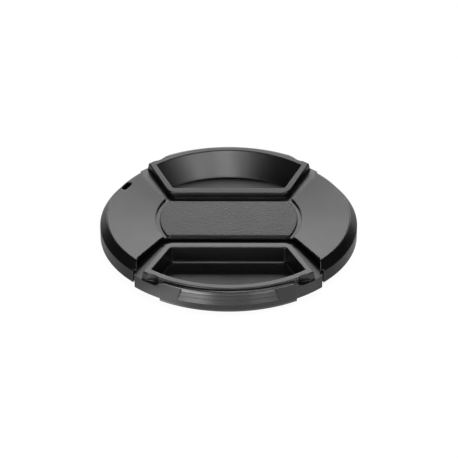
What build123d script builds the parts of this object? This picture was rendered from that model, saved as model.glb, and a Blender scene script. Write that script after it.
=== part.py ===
from build123d import *
import os
from math import cos, radians, sqrt, tan

# A clip-on lens cap with two spring-loaded pinch tabs, for a 58 mm filter thread.
# Millimetres. +Z points out of the front face, the front tab lies towards -Y, and the origin is
# under the centre of the cap on the plane it lies on.

# Filter ring that the cap snaps into
thread_radius = 29.0
thread_pitch = 0.75

# Front shell
rim_margin = 2.0
front_z = 7.5
seat_z = 2.1
bevel_width = 1.7
bevel_height = 2.0
shell_plate = 1.7
shell_wall = 1.5
skirt_gap = 0.7
skirt_wall = 1.2
skirt_lap = 4.0
face_edge_bevel = 0.2
seat_edge_bevel = 0.3

# Centre disc and the groove round it
disc_spread = 1.05
groove_width = 1.05
groove_depth = 0.3
disc_drop = 0.85
lobe_dip = 0.7

# Bridge and the openings for the tabs
bridge_half = 7.5
bridge_bevel = 0.7
lobe_width = 8.7
opening_lap = 0.8
opening_spread = 6.0
opening_flare = 29.6
opening_round = 3.0
end_wall = 1.2
end_round = 0.8

# Tether slot in one lobe
slot_length = 3.7
slot_width = 1.3
slot_margin = 0.3
slot_angle = 152

# Retaining plate and its screws
rear_plate_thickness = 1.0
rear_plate_half = 17.0
rear_plate_fit = 0.2
rear_plate_chamfer = 0.3
screw_near = 9.5
screw_edge = 2.6
boss_radius = 1.8
screw_radius = 0.7
screw_length = 3.2
screw_fit = 0.02
plate_hole_fit = 0.15
head_radius = 1.45
head_height = 0.7
head_bevel = 0.25
recess_span = 1.7
recess_width = 0.4
recess_depth = 0.4

# Pinch tabs, drawn where their arcs are concentric with the shell and then set out to rest
tab_overhang = 1.4
tab_travel = 2.0
tab_inner = 5.6
side_fit = 0.3
sole_fit = 0.2
flange_proud = 0.1
flange_drop = 2.0
flange_foot_bevel = 0.3
ear_depth = 5.0
stop_gap = 0.1

# Rim of the finger pocket
rim_proud = 0.19
rim_slope = 2.15
rim_gap = 1.2
rim_corner_inset = 1.05
rim_flare = 22.6
rim_round = 2.6
rim_inset = 0.85
rim_draft = 10.0
rim_edge_bevel = 0.12

# Finger pocket
pocket_depth = 4.6
pocket_wall_near = 1.75
pocket_wall_side = 1.35
pocket_wall_outer = 1.4
pocket_slope_run = 5.55
pocket_round = 1.1
pocket_draft = 6.0
pocket_floor_round = 0.6

# Grip wall with its ridges, and the toothed lip below it
grip_spread = 0.5
grip_proud = 0.2
grip_drop = 0.45
grip_foot_drop = 0.5
grip_foot_rise = 0.7
grip_foot_inset = 0.3
grip_edge_bevel = 0.25
scoop_radius = 2.9
scoop_set_out = 1.65
ridge_top_inset = 5.0
ridge_foot_inset = 4.1
ridge_count = 3
ridge_first = 0.85
ridge_growth = 1.35
ridge_top_drop = 0.8
ridge_recess = 0.5
ridge_step = 0.18
lip_spread = 0.5
lip_inset = 0.6
lip_wall = 1.5
lip_lift = 0.1
tooth_depth = 0.4
tooth_count = 2

# Springs and their pegs
spring_inset = 4.2
spring_radius = 1.1
wire_radius = 0.18
wire_sides = 6
spring_turns = 5
spring_seat_gap = 0.05
peg_radius = 0.75
peg_length = 1.8

# Core that hollows the slider plate of a tab from below
core_wall = 1.4
core_skin = 1.5

# Levels and radii that follow from the sizes above
shell_radius = thread_radius + rim_margin
face_radius = shell_radius - bevel_width
bevel_foot = front_z - bevel_height
under_z = front_z - shell_plate
wall_inner = shell_radius - shell_wall
skirt_radius = thread_radius - skirt_gap
skirt_inner = skirt_radius - skirt_wall
bridge_wall = bridge_half + bridge_bevel
channel_half = shell_radius - lobe_width
opening_far_half = channel_half - opening_lap
opening_half = opening_far_half - opening_spread
disc_radius = opening_half + disc_spread
groove_radius = disc_radius + groove_width
disc_z = front_z - disc_drop
groove_z = disc_z - groove_depth
lobe_foot_z = front_z - lobe_dip
slot_radius = face_radius - slot_margin - slot_width / 2
plate_top = seat_z - sole_fit
plate_bottom = plate_top - rear_plate_thickness
flange_radius = shell_radius + flange_proud
flange_half = channel_half - side_fit
flange_top = front_z - flange_drop
tab_edge_y = tab_inner + tab_overhang
ear_far = tab_edge_y + ear_depth
ear_half = sqrt((skirt_inner - side_fit) ** 2 - ear_far**2)
core_half = flange_half - core_wall
rim_top = front_z + rim_proud
rim_radius = flange_radius - rim_inset
rim_corner_half = opening_half - rim_corner_inset
rim_near = bridge_wall + tab_travel + rim_gap - tab_overhang
rim_height = rim_top - flange_top
floor_z = front_z - pocket_depth
pocket_radius = rim_radius - pocket_wall_outer
pocket_foot_radius = pocket_radius - pocket_slope_run
grip_top = front_z - grip_drop
grip_half = opening_half + grip_spread
grip_foot = seat_z - grip_foot_drop
ramp_radius = grip_top - flange_top
ridge_top_half = grip_half - ridge_top_inset
ridge_foot_half = grip_half - ridge_foot_inset
stop_y = ear_far + stop_gap
screw_far = skirt_inner - screw_edge
screw_spots = [(-screw_far, 0), (-screw_near, 0), (screw_near, 0), (screw_far, 0)]
spring_x = channel_half - spring_inset
spring_z = 0.5 * (seat_z + flange_top)
lip_half = opening_half + lip_spread
lip_tip = thread_radius - lip_inset
lip_root = lip_tip - tooth_depth
lip_inner = lip_root - lip_wall
grip_radius = flange_radius + grip_proud
reach = 2 * shell_radius


# Front shell: bevelled front plate, rim wall, skirt, openings for the tabs
with BuildPart() as front_shell:
    with BuildSketch(Plane.XZ):
        with BuildLine():
            Polyline(
                (0, under_z),
                (0, disc_z),
                (disc_radius, disc_z),
                (disc_radius, groove_z),
                (groove_radius, groove_z),
                (groove_radius, lobe_foot_z),
                (face_radius, front_z),
                (shell_radius, bevel_foot),
                (shell_radius, seat_z),
                (wall_inner, seat_z),
                (wall_inner, under_z),
                (skirt_radius, under_z),
                (skirt_radius, 0),
                (skirt_inner, 0),
                (skirt_inner, under_z),
                close=True,
            )
        make_face()
    revolve(axis=Axis.Z)
    chamfer(front_shell.edges().filter_by(GeomType.CIRCLE).group_by(Axis.Z)[-1], face_edge_bevel)
    seat_edges = front_shell.edges().filter_by(GeomType.CIRCLE).filter_by_position(Axis.Z, seat_z, seat_z)
    chamfer(seat_edges.sort_by(SortBy.RADIUS)[-1], seat_edge_bevel)
    # Channel in which both tabs slide, with the skirt running on a little below their flanges
    with BuildSketch(Plane.XY.offset(plate_top)):
        Rectangle(2 * channel_half, 2 * reach)
    extrude(amount=under_z - plate_top, mode=Mode.SUBTRACT)
    with BuildSketch():
        Rectangle(2 * (channel_half - skirt_lap), 2 * reach)
    extrude(amount=plate_top, mode=Mode.SUBTRACT)
    # Flared openings that leave the bridge between the lobes
    with BuildSketch() as openings:
        with BuildLine():
            flare_y = bridge_wall + (opening_far_half - opening_half) / tan(radians(opening_flare))
            Polyline(
                (opening_half, -bridge_wall),
                (opening_far_half, -flare_y),
                (opening_far_half, -reach),
                (-opening_far_half, -reach),
                (-opening_far_half, -flare_y),
                (-opening_half, -bridge_wall),
                close=True,
            )
        make_face()
        fillet(openings.vertices().group_by(Axis.Y)[-1], opening_round)
        mirror(about=Plane.XZ)
    extrude(amount=front_z, mode=Mode.SUBTRACT)
    # Bevel along each long edge of the bridge
    with BuildSketch(Plane.XY.offset(disc_z - bridge_bevel)):
        bevel_half = opening_half - opening_round * tan(radians(45 - opening_flare / 2))
        with Locations((0, -bridge_wall)):
            Rectangle(2 * bevel_half, opening_round, align=(Align.CENTER, Align.MAX))
        with Locations((0, bridge_wall)):
            Rectangle(2 * bevel_half, opening_round, align=(Align.CENTER, Align.MIN))
    extrude(amount=bridge_bevel, taper=-45, mode=Mode.SUBTRACT)
    # End walls of the lobes, which guide the flanges and stop the ears
    with BuildSketch(Plane.XY.offset(seat_z)):
        with GridLocations(2 * channel_half + end_wall, 0, 2, 1):
            Rectangle(end_wall, reach)
        Circle(wall_inner + shell_wall / 2, mode=Mode.INTERSECT)
        Rectangle(reach, 2 * stop_y, mode=Mode.SUBTRACT)
    extrude(amount=under_z - seat_z)
    seat_lines = front_shell.edges().filter_by(Axis.Y).filter_by_position(Axis.Z, seat_z, seat_z)
    lobe_ends = seat_lines.filter_by_position(Axis.X, -channel_half, -channel_half)
    lobe_ends += seat_lines.filter_by_position(Axis.X, channel_half, channel_half)
    fillet(lobe_ends, end_round)
    # Screw bosses with their pilot holes
    with BuildSketch(Plane.XY.offset(plate_top)):
        with Locations(*screw_spots):
            Circle(boss_radius)
    extrude(amount=under_z - plate_top)
    with BuildSketch(Plane.XY.offset(plate_top)):
        with Locations(*screw_spots):
            Circle(screw_radius + screw_fit)
    extrude(amount=screw_length, mode=Mode.SUBTRACT)
    # Tether slot at the edge of one lobe
    with BuildSketch(Plane.XY.offset(front_z)):
        with PolarLocations(slot_radius, 1, start_angle=slot_angle):
            SlotOverall(slot_length, slot_width, rotation=90)
    extrude(amount=-front_z, mode=Mode.SUBTRACT)
front_shell.part.label = "front_shell"


# Retaining plate that keeps the sliders in the shell
with BuildPart() as rear_plate:
    with BuildSketch(Plane.XY.offset(plate_bottom)):
        Circle(skirt_inner - rear_plate_fit)
        Rectangle(reach, 2 * rear_plate_half, mode=Mode.INTERSECT)
        with Locations(*screw_spots):
            Circle(screw_radius + plate_hole_fit, mode=Mode.SUBTRACT)
    extrude(amount=rear_plate_thickness)
    chamfer(rear_plate.faces().sort_by(Axis.Z)[0].outer_wire().edges(), rear_plate_chamfer)
rear_plate.part.label = "rear_plate"


# Four cross-head screws of the retaining plate
with BuildPart() as plate_screws:
    with BuildSketch(Plane.XY.offset(plate_bottom)):
        with Locations(*screw_spots):
            Circle(head_radius)
    extrude(amount=-head_height)
    chamfer(plate_screws.edges().group_by(Axis.Z)[0], head_bevel)
    with BuildSketch(Plane.XY.offset(plate_bottom)):
        with Locations(*screw_spots):
            Circle(screw_radius)
    extrude(amount=screw_length)
    with BuildSketch(Plane.XY.offset(plate_bottom - head_height)):
        with Locations(*screw_spots):
            Rectangle(recess_span, recess_width)
            Rectangle(recess_width, recess_span)
    extrude(amount=recess_depth, mode=Mode.SUBTRACT)
plate_screws.part.label = "plate_screws"


# Outline that widens away from the bridge at the flare of the pocket's rim
def flared_outline(near, near_half, corner_round):
    far_half = near_half + (shell_radius - near) * tan(radians(rim_flare))
    with BuildSketch() as outline:
        with BuildLine():
            Polyline(
                (-near_half, -near),
                (near_half, -near),
                (far_half, -shell_radius),
                (-far_half, -shell_radius),
                close=True,
            )
        make_face()
        fillet(outline.vertices().group_by(Axis.Y)[-1], corner_round)
    return outline.sketch


rim_outline = flared_outline(rim_near, rim_corner_half, rim_round)
pocket_near = rim_near + pocket_wall_near
pocket_corner_half = rim_corner_half + pocket_wall_near * tan(radians(rim_flare))
pocket_corner_half -= pocket_wall_side / cos(radians(rim_flare))
pocket_outline = flared_outline(pocket_near, pocket_corner_half, pocket_round)


# Finger pocket of a tab: flared sides, a sloped outer wall and a flat floor
with BuildPart() as pocket:
    with BuildSketch(Plane.XY.offset(rim_top)):
        add(pocket_outline)
    extrude(amount=floor_z - rim_top, taper=pocket_draft)
    with BuildSketch(Plane.XZ):
        with BuildLine():
            Polyline(
                (0, floor_z),
                (pocket_foot_radius, floor_z),
                (pocket_radius, rim_top),
                (0, rim_top),
                close=True,
            )
        make_face()
    revolve(axis=Axis.Z, mode=Mode.INTERSECT)
    fillet(pocket.faces().sort_by(Axis.Z)[0].outer_wire().edges(), pocket_floor_round)


# Ridged recess across the grip wall of a tab
with BuildPart() as ridges:
    with BuildSketch(Plane.XZ):
        with BuildLine():
            ridge_z = front_z - ridge_top_drop
            ridge_outline = [(grip_radius + ridge_recess, ridge_z)]
            for i in range(ridge_count):
                depth_top = ridge_recess * (1 - i / ridge_count) + ridge_step
                depth_foot = ridge_recess * (1 - (i + 1) / ridge_count)
                ridge_outline.append((grip_radius - depth_top, ridge_z))
                ridge_z -= ridge_first * ridge_growth**i
                ridge_outline.append((grip_radius - depth_foot, ridge_z))
            ridge_outline.append((grip_radius + ridge_recess, ridge_z))
            Polyline(*ridge_outline, close=True)
        make_face()
    revolve(axis=Axis.Z)
    with BuildSketch(Plane.XZ):
        with BuildLine():
            Polyline(
                (-ridge_foot_half, ridge_z),
                (ridge_foot_half, ridge_z),
                (ridge_top_half, front_z - ridge_top_drop),
                (-ridge_top_half, front_z - ridge_top_drop),
                close=True,
            )
        make_face()
    extrude(amount=reach, mode=Mode.INTERSECT)


# Grip block a little proud of the flange, drawn in at its foot
with BuildPart() as grip_block:
    with BuildSketch(Plane.XZ):
        with BuildLine():
            Polyline(
                (rim_radius, grip_foot),
                (grip_radius - grip_foot_inset, grip_foot),
                (grip_radius, grip_foot + grip_foot_rise),
                (grip_radius, grip_top - grip_edge_bevel),
                (grip_radius - grip_edge_bevel, grip_top),
                (rim_radius, grip_top),
                close=True,
            )
        make_face()
    revolve(axis=Axis.Z)
    with BuildSketch(Plane.XY.offset(grip_foot)):
        Rectangle(2 * grip_half, reach, align=(Align.CENTER, Align.MAX))
    extrude(amount=grip_top - grip_foot, mode=Mode.INTERSECT)


# Hollow ramps that rise from the flange to the ends of the grip block
with BuildPart() as grip_ramps:
    with BuildSketch(Plane.XZ):
        with BuildLine():
            Line((grip_half, grip_top), (grip_half, flange_top))
            Line((grip_half, flange_top), (grip_half + ramp_radius, flange_top))
            CenterArc((grip_half + ramp_radius, grip_top), ramp_radius, 180, 90)
        make_face()
        mirror(about=Plane.YZ)
    extrude(amount=reach)
    with BuildSketch(Plane.XY.offset(flange_top)):
        Circle(grip_radius - grip_edge_bevel)
        Circle(pocket_radius, mode=Mode.SUBTRACT)
    extrude(amount=ramp_radius, mode=Mode.INTERSECT)


# Toothed lip of a tab that catches the filter thread
with BuildPart() as toothed_lip:
    with BuildSketch(Plane.XZ):
        with BuildLine():
            lip_outline = [(lip_inner, flange_top), (lip_inner, lip_lift), (lip_root, lip_lift)]
            for i in range(tooth_count):
                tooth_z = lip_lift + i * thread_pitch
                lip_outline.append((lip_tip, tooth_z + 0.5 * thread_pitch))
                lip_outline.append((lip_root, tooth_z + thread_pitch))
            lip_outline.append((lip_root, flange_top))
            Polyline(*lip_outline, close=True)
        make_face()
    revolve(axis=Axis.Z)
    with BuildSketch():
        Rectangle(2 * lip_half, reach, align=(Align.CENTER, Align.MAX))
    extrude(amount=flange_top, mode=Mode.INTERSECT)


# One pinch tab with its arcs concentric with the shell
with BuildPart() as closed_tab:
    # Slider plate with its flange and stop ears
    with BuildSketch(Plane.XY.offset(seat_z)):
        Circle(flange_radius)
        with Locations((0, -tab_inner)):
            Rectangle(2 * flange_half, reach, align=(Align.CENTER, Align.MAX), mode=Mode.INTERSECT)
            Rectangle(2 * ear_half, ear_depth, align=(Align.CENTER, Align.MAX))
    extrude(amount=flange_top - seat_z)
    flange_foot = closed_tab.edges().filter_by(GeomType.CIRCLE).sort_by(Axis.Z)[0]
    chamfer(flange_foot, flange_foot_bevel)
    # Drafted rim block of the finger pocket
    with BuildSketch(Plane.XY.offset(rim_top)):
        add(rim_outline)
        Circle(rim_radius, mode=Mode.INTERSECT)
    extrude(amount=-rim_height, taper=-rim_draft)
    # Top of the rim, sloping down towards the bridge
    with BuildSketch(Plane.YZ):
        with BuildLine():
            Polyline(
                (-shell_radius, rim_top),
                (0, rim_top),
                (0, rim_top - shell_radius * tan(radians(rim_slope))),
                close=True,
            )
        make_face()
    extrude(amount=reach, both=True, mode=Mode.SUBTRACT)
    add(pocket.part, mode=Mode.SUBTRACT)
    chamfer(closed_tab.faces().sort_by(Axis.Z)[-1].edges(), rim_edge_bevel)
    # Scoops in the rim beside the grip block
    with BuildSketch(Plane.XY.offset(flange_top)):
        scoop_x = grip_half + scoop_radius
        scoop_y = sqrt((flange_radius + scoop_set_out) ** 2 - scoop_x**2)
        with Locations((-scoop_x, -scoop_y), (scoop_x, -scoop_y)):
            Circle(scoop_radius)
    extrude(amount=rim_height, mode=Mode.SUBTRACT)
    add(grip_block.part)
    add(grip_ramps.part)
    add(ridges.part, mode=Mode.SUBTRACT)
    # Core round the pocket, open below
    with BuildSketch(Plane.XY.offset(seat_z)):
        Circle(flange_radius - core_wall)
        with Locations((0, -tab_inner - core_wall)):
            Rectangle(2 * core_half, reach, align=(Align.CENTER, Align.MAX), mode=Mode.INTERSECT)
        add(rim_outline, mode=Mode.SUBTRACT)
    extrude(amount=flange_top - seat_z - core_skin, mode=Mode.SUBTRACT)
    add(toothed_lip.part)
    # Spring pegs on the inner edge
    with BuildSketch(Plane.XZ.offset(tab_inner)):
        with Locations((-spring_x, spring_z), (spring_x, spring_z)):
            Circle(peg_radius)
    extrude(amount=-peg_length)


with BuildPart() as front_tab:
    with Locations((0, -tab_overhang, 0)):
        add(closed_tab.part)
front_tab.part.label = "front_tab"

with BuildPart() as rear_tab:
    add(front_tab.part, rotation=(0, 0, 180))
rear_tab.part.label = "rear_tab"


# Compression springs that push the tabs apart
def coil(x):
    start = tab_edge_y - wire_radius - spring_seat_gap
    with BuildPart() as spring:
        with BuildLine() as path:
            Helix(
                pitch=2 * start / spring_turns,
                height=2 * start,
                radius=spring_radius,
                center=(x, -start, spring_z),
                direction=(0, 1, 0),
            )
        with BuildSketch(Plane(origin=path.line @ 0, z_dir=path.line % 0)):
            RegularPolygon(wire_radius, wire_sides)
        sweep(path=path.line, is_frenet=True)
    return spring.part


left_spring = coil(-spring_x)
left_spring.label = "left_spring"
right_spring = coil(spring_x)
right_spring.label = "right_spring"

os.makedirs("parts", exist_ok=True)
export_step(front_shell.part, "parts/front_shell.step")
export_step(rear_plate.part, "parts/rear_plate.step")
export_step(plate_screws.part, "parts/plate_screws.step")
export_step(front_tab.part, "parts/front_tab.step")
export_step(rear_tab.part, "parts/rear_tab.step")
export_step(left_spring, "parts/left_spring.step")
export_step(right_spring, "parts/right_spring.step")
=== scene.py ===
import math

import bpy
from mathutils import Euler, Matrix, Vector


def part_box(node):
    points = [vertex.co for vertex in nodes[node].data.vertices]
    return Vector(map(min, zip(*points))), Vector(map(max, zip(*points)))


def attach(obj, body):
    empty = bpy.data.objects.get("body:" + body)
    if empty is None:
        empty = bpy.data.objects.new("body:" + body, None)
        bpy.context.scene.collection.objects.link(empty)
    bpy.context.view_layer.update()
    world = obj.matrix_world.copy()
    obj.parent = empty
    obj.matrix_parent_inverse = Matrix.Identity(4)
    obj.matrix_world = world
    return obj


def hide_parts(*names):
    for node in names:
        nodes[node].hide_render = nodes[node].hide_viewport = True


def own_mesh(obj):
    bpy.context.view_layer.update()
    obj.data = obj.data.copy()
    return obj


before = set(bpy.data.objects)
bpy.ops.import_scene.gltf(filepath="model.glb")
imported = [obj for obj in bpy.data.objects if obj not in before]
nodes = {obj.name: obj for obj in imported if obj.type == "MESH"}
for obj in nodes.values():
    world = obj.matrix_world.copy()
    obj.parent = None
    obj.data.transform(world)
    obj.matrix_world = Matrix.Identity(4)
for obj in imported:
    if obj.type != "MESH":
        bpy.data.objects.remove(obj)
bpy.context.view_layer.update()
scene = bpy.context.scene

# Sizes of the part, in metres
SHELL_RADIUS = 0.031
FRONT_Z = 0.0075
DISC_RADIUS = 0.01655
DISC_Z = 0.00665
POCKET_FLOOR_Z = 0.0031
TAB_SET_OUT = 0.0014

# Coil springs
SPRING_RADIUS = 0.0011
WIRE_RADIUS = 0.00018
HALF_TURNS = 2.5
COIL_STEPS = 32
WIRE_SIDES = 12

# Strips along the curved grips: each row has a radius, a height and the height at the strip's ends
STRIP_STEPS = 96
STRIP_FADE = 0.05
LEDGE_SECTION = (
    (0.030300, 0.006700, 0.006700),
    (0.030300, 0.007300, 0.007030),
    (0.030880, 0.007270, 0.007030),
    (0.030960, 0.007225, 0.007030),
    (0.031130, 0.007095, 0.006950),
    (0.031190, 0.007035, 0.006890),
    (0.031225, 0.006970, 0.006850),
    (0.031275, 0.006860, 0.006800),
    (0.031297, 0.006790, 0.006770),
    (0.031297, 0.006700, 0.006700),
)
LEDGE_HALF_ANGLE = math.radians(30.2)
LEDGE_CREASE = math.radians(60)
RIDGE_SECTION = (
    (0.030800, 0.003170, 0.003170),
    (0.030800, 0.004700, 0.004700),
    (0.030953, 0.004700, 0.004700),
    (0.031297, 0.003570, 0.003570),
    (0.031297, 0.003170, 0.003170),
)
RIDGE_CREASE = math.radians(10)
RIDGES_TOP_Z = 0.0067
RIDGES_FOOT_Z = 0.00315
RIDGES_TOP_HALF = 0.0110
RIDGES_FOOT_HALF = 0.0119

# Surface of the mouldings
BLACK = 0.003
DULL_BLACK = 0.016
FINE_GRAIN = 0.000003
COARSE_GRAIN = 0.000006
GRAIN_SCALE = 9000.0
CLOUD_SCALE = 160.0
NOISE_LOW = 0.3
NOISE_HIGH = 0.7
TONE_SPREAD = 0.1
ROUGHNESS_SPREAD = 0.02
EDGE_SAMPLES = 6
POCKET_DULLER = 0.05
POCKET_FADE = 0.0003

# Eroded texture of the centre disc
DISC_FADE_INSIDE = 0.00015
DISC_FADE_OUTSIDE = 0.00005
FACE_FADE_START = 0.00010
FACE_FADE_END = 0.00003
PIT_SCALE = 2600.0
PIT_DEPTH = 0.00005
EROSION_SCALE = 2200.0
EROSION_DEPTH = 0.00006
DISC_DULLER = 0.125
DISC_MOTTLE = 0.6

# Scratches of the steel pieces
SCRATCH_SHINE = 0.06
SCRATCH_DULL = 0.08

# Paper floor and white surroundings
WHITE = (1, 1, 1, 1)
FLOOR_HALF = 3.0
FLOOR_TONE = (0.65, 0.65, 0.65, 1)
FLOOR_SEEN_GLOW = 0.86
FLOOR_GLOW = 1.1
# Painted pool of light on the floor, seen only in reflections: a glow in front of the cap and a brighter
# painted patch at its left
PAINTED_POOL_START_Y = -0.018
PAINTED_POOL_FULL_Y = -0.028
PAINTED_PATCH_GLOW = 1.45
PAINTED_PATCH_RIGHT_X = (-0.009, -0.017)
PAINTED_PATCH_LEFT_X = (-0.028, -0.018)
WORLD_LIGHT = 0.005
WORLD_IN_MIRRORS = 0.01

# Lamps: azimuth from the back round to the right, elevation, width, height and radiance
LAMP_DISTANCE = 1.0
LAMPS = (
    ("back_light", 0.0, 21.0, 0.48, 0.58, 3.25),
    ("back_left_light", 332.0, 13.0, 0.30, 0.42, 2.2),
    ("back_right_light", 28.0, 13.0, 0.30, 0.42, 2.2),
    ("top_light", 170.0, 73.0, 0.24, 0.20, 14.5),
    ("top_left_light", 210.0, 73.0, 0.24, 0.20, 5.0),
    ("top_right_light", 130.0, 63.0, 0.24, 0.20, 9.0),
    ("right_light", 100.0, 62.0, 0.24, 0.20, 2.5),
    ("front_left_light", 209.0, 8.0, 0.46, 0.22, 19.0),
    ("left_edge_light", 231.0, 14.0, 0.26, 0.14, 22.0),
    ("front_light", 178.0, 8.0, 0.30, 0.20, 4.0),
    ("front_right_light", 152.0, 9.0, 0.36, 0.24, 8.0),
    ("front_fill", 180.0, 30.0, 0.50, 0.30, 1.0),
    ("right_edge_light", 128.0, 12.0, 0.24, 0.16, 20.0),
)

# View of the photograph
CAMERA_ELEVATION = math.radians(32.48)
CAMERA_TURN = math.radians(-0.15)
CAMERA_DISTANCE = 20 * SHELL_RADIUS
FRAME_PIXELS = 458.0
FOCAL_PIXELS = 2572.2
FACE_PIXEL = (228.15, 214.64)
SENSOR_MM = 36.0
CLIP_START = 0.01
CLIP_END = 20.0


class Graph:
    """Short hand for adding and joining shader nodes."""

    def __init__(self, tree):
        self.tree = tree

    def node(self, kind, inputs=None, **settings):
        made = self.tree.nodes.new(kind)
        for key, value in settings.items():
            setattr(made, key, value)
        for key, value in (inputs or {}).items():
            if isinstance(value, bpy.types.NodeSocket):
                self.tree.links.new(value, made.inputs[key])
            else:
                made.inputs[key].default_value = value
        return made

    def maths(self, operation, *values):
        return self.node("ShaderNodeMath", dict(enumerate(values)), operation=operation).outputs[0]

    def noise(self, coords, scale, detail, roughness):
        made = self.node(
            "ShaderNodeTexNoise",
            {"Vector": coords, "Scale": scale, "Detail": detail, "Roughness": roughness},
        )
        return made.outputs["Fac"]

    def ramp(self, value, low, high, to_low=0.0, to_high=1.0, interpolation="LINEAR"):
        made = self.node(
            "ShaderNodeMapRange",
            {"Value": value, "From Min": low, "From Max": high, "To Min": to_low, "To Max": to_high},
            interpolation_type=interpolation,
            clamp=True,
        )
        return made.outputs["Result"]

    def spread(self, noise, low, high):
        return self.ramp(noise, NOISE_LOW, NOISE_HIGH, low, high)

    def grey(self, value):
        made = self.node("ShaderNodeCombineColor", {"Red": value, "Green": value, "Blue": value})
        return made.outputs["Color"]

    def place(self):
        return self.node("ShaderNodeTexCoord").outputs["Object"]

    def split(self, coords):
        made = self.node("ShaderNodeSeparateXYZ", {"Vector": coords})
        return made.outputs["X"], made.outputs["Y"], made.outputs["Z"]

    def into(self, shader, socket, value):
        self.tree.links.new(value, shader.inputs[socket])


def new_material(name, roughness, metallic=0.0, specular=0.5):
    """A material with a Principled shader whose even values sit on its own sockets."""
    material = bpy.data.materials.new(name)
    material.use_nodes = True
    shader = next(n for n in material.node_tree.nodes if n.type == "BSDF_PRINCIPLED")
    shader.inputs["Roughness"].default_value = roughness
    shader.inputs["Metallic"].default_value = metallic
    shader.inputs["Specular IOR Level"].default_value = specular
    return material, shader


def eroded_disc(g, place):
    """Where the centre disc is, how deep its eroded texture is there, and its mottle."""
    x, y, z = g.split(place)
    radius = g.maths("SQRT", g.maths("ADD", g.maths("MULTIPLY", x, x), g.maths("MULTIPLY", y, y)))
    inside = g.ramp(radius, DISC_RADIUS - DISC_FADE_INSIDE, DISC_RADIUS + DISC_FADE_OUTSIDE, 1.0, 0.0)
    on_face = g.ramp(z, DISC_Z - FACE_FADE_START, DISC_Z - FACE_FADE_END)
    mask = g.maths("MULTIPLY", inside, on_face)
    pits = g.node(
        "ShaderNodeTexVoronoi",
        {"Vector": place, "Scale": PIT_SCALE, "Randomness": 1.0},
        feature="SMOOTH_F1",
    ).outputs["Distance"]
    coarse = g.noise(place, EROSION_SCALE, detail=3.0, roughness=0.65)
    depth = g.maths("ADD", g.maths("MULTIPLY", pits, PIT_DEPTH), g.maths("MULTIPLY", coarse, EROSION_DEPTH))
    return mask, g.maths("MULTIPLY", depth, mask), g.maths("MULTIPLY", coarse, mask)


def black_plastic(
    name, base, roughness, grain_depth, specular=0.5, edge_softness=None, with_disc=False, duller_below=None
):
    """Satin black moulding with a fine even grain and slight flow marks.

    Its edges can be softened, the shell has the eroded disc, and the tabs are duller at the pocket floor.
    """
    material, shader = new_material(name, roughness, specular=specular)
    g = Graph(material.node_tree)
    place = g.place()
    grain = g.noise(place, GRAIN_SCALE, detail=2.0, roughness=0.6)
    cloud = g.noise(place, CLOUD_SCALE, detail=3.0, roughness=0.5)
    height = g.maths("MULTIPLY", grain, grain_depth)
    tone = g.spread(cloud, base * (1 - TONE_SPREAD), base * (1 + TONE_SPREAD))
    rough = g.spread(cloud, roughness - ROUGHNESS_SPREAD, roughness + ROUGHNESS_SPREAD)
    if duller_below:
        z = g.split(place)[2]
        duller = g.ramp(z, duller_below, duller_below + POCKET_FADE, POCKET_DULLER, 0.0)
        rough = g.maths("ADD", rough, duller)
    if with_disc:
        mask, depth, mottle = eroded_disc(g, place)
        height = g.maths("ADD", height, depth)
        rough = g.maths("ADD", rough, g.maths("MULTIPLY", mask, DISC_DULLER))
        tone = g.maths("ADD", tone, g.maths("MULTIPLY", mottle, base * DISC_MOTTLE))
    relief = {"Strength": 1.0, "Distance": 1.0, "Height": height}
    if edge_softness:
        soft = g.node("ShaderNodeBevel", {"Radius": edge_softness}, samples=EDGE_SAMPLES)
        relief["Normal"] = soft.outputs["Normal"]
    g.into(shader, "Base Color", g.grey(tone))
    g.into(shader, "Roughness", rough)
    g.into(shader, "Normal", g.node("ShaderNodeBump", relief).outputs["Normal"])
    return material


def steel(name, low, high, roughness, scratch_scale):
    """Drawn or blackened steel with fine scratches."""
    material, shader = new_material(name, roughness, metallic=1.0)
    g = Graph(material.node_tree)
    scratch = g.noise(g.place(), scratch_scale, detail=4.0, roughness=0.7)
    g.into(shader, "Base Color", g.grey(g.spread(scratch, low, high)))
    g.into(shader, "Roughness", g.spread(scratch, roughness - SCRATCH_SHINE, roughness + SCRATCH_DULL))
    return material


def dress(node, material):
    """A carried-over CAD node with its material."""
    obj = nodes[node]
    obj.data.materials.clear()
    obj.data.materials.append(material)


shell_plastic = black_plastic(
    "shell_plastic",
    base=BLACK,
    roughness=0.25,
    grain_depth=FINE_GRAIN,
    specular=0.43,
    edge_softness=0.0004,
    with_disc=True,
)
tab_plastic = black_plastic(
    "tab_plastic",
    base=BLACK,
    roughness=0.30,
    grain_depth=FINE_GRAIN,
    edge_softness=0.00022,
    duller_below=POCKET_FLOOR_Z,
)
tab_edge_plastic = black_plastic(
    "tab_edge_plastic",
    base=BLACK,
    roughness=0.30,
    grain_depth=FINE_GRAIN,
)
plate_plastic = black_plastic(
    "plate_plastic",
    base=DULL_BLACK,
    roughness=0.50,
    grain_depth=COARSE_GRAIN,
    edge_softness=0.0002,
)
spring_steel = steel("spring_steel", low=0.45, high=0.62, roughness=0.30, scratch_scale=4000.0)
screw_steel = steel("screw_steel", low=0.05, high=0.09, roughness=0.42, scratch_scale=6000.0)

dress("front_shell", shell_plastic)
dress("front_tab", tab_plastic)
dress("rear_tab", tab_plastic)
dress("rear_plate", plate_plastic)
dress("plate_screws", screw_steel)


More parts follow.
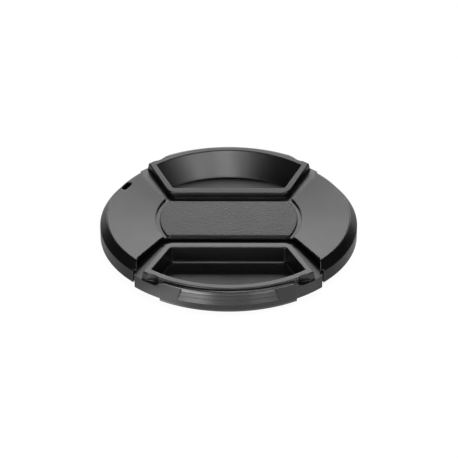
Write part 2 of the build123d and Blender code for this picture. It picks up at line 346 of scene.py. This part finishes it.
def lofted(name, rings, flipped, material, crease=None):
    """A closed smooth piece through rings of points. Edges bent more than the crease stay sharp."""
    size = len(rings[0])
    last = (len(rings) - 1) * size
    faces = []
    for start in range(0, last, size):
        for k in range(size):
            a = start + k
            b = start + (k + 1) % size
            faces.append((a, b, b + size, a + size))
    faces.append(tuple(reversed(range(size))))
    faces.append(tuple(range(last, last + size)))
    if flipped:
        faces = [face[::-1] for face in faces]
    mesh = bpy.data.meshes.new(name)
    mesh.from_pydata([point for ring in rings for point in ring], [], faces)
    mesh.update()
    mesh.shade_smooth()
    if crease:
        mesh.set_sharp_from_angle(angle=crease)
    mesh.materials.append(material)
    piece = bpy.data.objects.new(name, mesh)
    scene.collection.objects.link(piece)
    return piece


def half_spring(name, node, end_y):
    """Half a coil from the middle of the cap to one tab."""
    low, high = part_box(node)
    x, z = (low[0] + high[0]) / 2, (low[2] + high[2]) / 2
    steps = int(HALF_TURNS * COIL_STEPS)
    rise = end_y / (2 * math.pi * HALF_TURNS)
    rings = []
    for i in range(steps + 1):
        share = i / steps
        turn = 2 * math.pi * HALF_TURNS * share
        out = Vector((math.cos(turn), 0, math.sin(turn)))
        along = Vector((-SPRING_RADIUS * math.sin(turn), rise, SPRING_RADIUS * math.cos(turn)))
        side = along.normalized().cross(out)
        middle = Vector((x, end_y * share, z)) + out * SPRING_RADIUS
        ring = []
        for k in range(WIRE_SIDES):
            angle = 2 * math.pi * k / WIRE_SIDES
            outward = out * (WIRE_RADIUS * math.cos(angle))
            sideways = side * (WIRE_RADIUS * math.sin(angle))
            ring.append(middle + outward + sideways)
        rings.append(ring)
    piece = lofted(name, rings, False, spring_steel)
    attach(piece, "shell")
    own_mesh(piece)
    return piece


for spring in ("left_spring", "right_spring"):
    spring_low, spring_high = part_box(spring)
    halves = [
        half_spring(spring + "_front_half", spring, spring_low[1] + WIRE_RADIUS),
        half_spring(spring + "_rear_half", spring, spring_high[1] - WIRE_RADIUS),
    ]
    for half in halves:
        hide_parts(spring)


def ledge_angle(radius, height):
    """The rounded ledge runs to the ends of the grip."""
    return LEDGE_HALF_ANGLE


def ridge_angle(radius, height):
    """The ridged recess widens a little towards its foot."""
    share = (RIDGES_TOP_Z - height) / (RIDGES_TOP_Z - RIDGES_FOOT_Z)
    half = RIDGES_TOP_HALF + (RIDGES_FOOT_HALF - RIDGES_TOP_HALF) * share
    return math.asin(half / radius)


def grip_strip(name, tab, side, section, half_angle, crease):
    """A strip of the given section along the curved grip of one tab."""
    rings = []
    for i in range(STRIP_STEPS + 1):
        share = 2 * i / STRIP_STEPS - 1
        rise = min(1.0, (1 - abs(share)) / STRIP_FADE)
        ring = []
        for radius, height, end_height in section:
            turn = half_angle(radius, height) * share
            out = TAB_SET_OUT + radius * math.cos(turn)
            ring.append((radius * math.sin(turn), side * out, end_height + (height - end_height) * rise))
        rings.append(ring)
    piece = lofted(name, rings, side > 0, tab_edge_plastic, crease)
    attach(piece, tab)


for end, side in (("front", -1), ("rear", 1)):
    grip_strip(end + "_grip_ledge", end + "_tab", side, LEDGE_SECTION, ledge_angle, LEDGE_CREASE)
    grip_strip(end + "_low_ridge", end + "_tab", side, RIDGE_SECTION, ridge_angle, RIDGE_CREASE)


def seen_directly(g, path):
    """One for a ray from the camera, straight or through something clear."""
    return g.maths("MAXIMUM", path.outputs["Is Camera Ray"], path.outputs["Is Transmission Ray"])


def paper_with_painted_pool():
    """White paper with a faint soft shadow. In reflections it shows a painted pool of light in front of the
    cap, with a brighter painted patch at the left.
    """
    material = bpy.data.materials.new("paper_with_painted_pool")
    material.use_nodes = True
    material.node_tree.nodes.clear()
    g = Graph(material.node_tree)
    path = g.node("ShaderNodeLightPath")
    mirrored = path.outputs["Is Glossy Ray"]
    x, y = g.split(g.place())[:2]
    # Painted light: in reflections the paper glows only in front of the cap, and brighter still in a
    # painted patch at the left
    painted_pool = g.ramp(y, PAINTED_POOL_START_Y, PAINTED_POOL_FULL_Y, interpolation="SMOOTHSTEP")
    right = g.ramp(x, *PAINTED_PATCH_RIGHT_X, to_high=PAINTED_PATCH_GLOW, interpolation="SMOOTHSTEP")
    left = g.ramp(x, *PAINTED_PATCH_LEFT_X, interpolation="SMOOTHSTEP")
    power = g.maths("MULTIPLY_ADD", mirrored, g.maths("MULTIPLY", right, left), FLOOR_GLOW)
    painted_pool_share = g.maths("MULTIPLY", mirrored, painted_pool)
    share = g.maths("MULTIPLY_ADD", seen_directly(g, path), FLOOR_SEEN_GLOW, painted_pool_share)
    diffuse = g.node("ShaderNodeBsdfDiffuse", {"Color": FLOOR_TONE}).outputs[0]
    glow = g.node("ShaderNodeEmission", {"Color": WHITE, "Strength": power}).outputs[0]
    mix = g.node("ShaderNodeMixShader", {"Fac": share, 1: diffuse, 2: glow}).outputs[0]
    g.node("ShaderNodeOutputMaterial", {"Surface": mix})
    return material


floor_mesh = bpy.data.meshes.new("floor")
floor_corners = [(x * FLOOR_HALF, y * FLOOR_HALF, 0) for x, y in ((-1, -1), (1, -1), (1, 1), (-1, 1))]
floor_mesh.from_pydata(floor_corners, [], [(0, 1, 2, 3)])
floor = bpy.data.objects.new("floor", floor_mesh)
scene.collection.objects.link(floor)
floor.data.materials.append(paper_with_painted_pool())


def studio_world():
    """White to the camera and dim to everything else."""
    world = bpy.data.worlds.new("studio")
    world.use_nodes = True
    world.node_tree.nodes.clear()
    g = Graph(world.node_tree)
    path = g.node("ShaderNodeLightPath")
    share = g.maths("MULTIPLY_ADD", path.outputs["Is Glossy Ray"], WORLD_IN_MIRRORS, seen_directly(g, path))
    dim = g.node("ShaderNodeBackground", {"Color": WHITE, "Strength": WORLD_LIGHT}).outputs[0]
    white = g.node("ShaderNodeBackground", {"Color": WHITE, "Strength": 1.0}).outputs[0]
    mix = g.node("ShaderNodeMixShader", {"Fac": share, 1: dim, 2: white}).outputs[0]
    g.node("ShaderNodeOutputWorld", {"Surface": mix})
    return world


scene.world = studio_world()


def softbox(name, azimuth, elevation, width, height, radiance):
    """A rectangular lamp that faces the cap. Azimuth 0 is behind the cap and 90 to its right."""
    a, e = math.radians(azimuth), math.radians(elevation)
    away = Vector((math.sin(a) * math.cos(e), math.cos(a) * math.cos(e), math.sin(e)))
    lamp = bpy.data.lights.new(name, "AREA")
    lamp.shape = "RECTANGLE"
    lamp.size = width
    lamp.size_y = height
    lamp.energy = radiance * math.pi * width * height
    holder = bpy.data.objects.new(name, lamp)
    scene.collection.objects.link(holder)
    holder.location = away * LAMP_DISTANCE + Vector((0, 0, FRONT_Z))
    holder.rotation_euler = away.to_track_quat("Z", "Y").to_euler()
    holder.visible_camera = False


for lamp_row in LAMPS:
    softbox(*lamp_row)

# Camera
camera = bpy.data.objects.new("camera", bpy.data.cameras.new("camera"))
scene.collection.objects.link(camera)
scene.camera = camera
camera.data.sensor_width = SENSOR_MM
camera.data.lens = FOCAL_PIXELS / FRAME_PIXELS * SENSOR_MM
camera.data.clip_start = CLIP_START
camera.data.clip_end = CLIP_END
towards = Vector((0, -math.cos(CAMERA_ELEVATION), math.sin(CAMERA_ELEVATION)))
away = Matrix.Rotation(-CAMERA_TURN, 3, "Z") @ towards
middle = (FRAME_PIXELS - 1) / 2
tilt_down = math.atan((middle - FACE_PIXEL[1]) / FOCAL_PIXELS)
turn_right = math.atan((middle - FACE_PIXEL[0]) / FOCAL_PIXELS)
aim = away.to_track_quat("Z", "Y") @ Euler((-tilt_down, -turn_right, 0)).to_quaternion()
camera.location = Vector((0, 0, FRONT_Z)) + away * CAMERA_DISTANCE
camera.rotation_euler = aim.to_euler()

scene.view_settings.view_transform = "Standard"
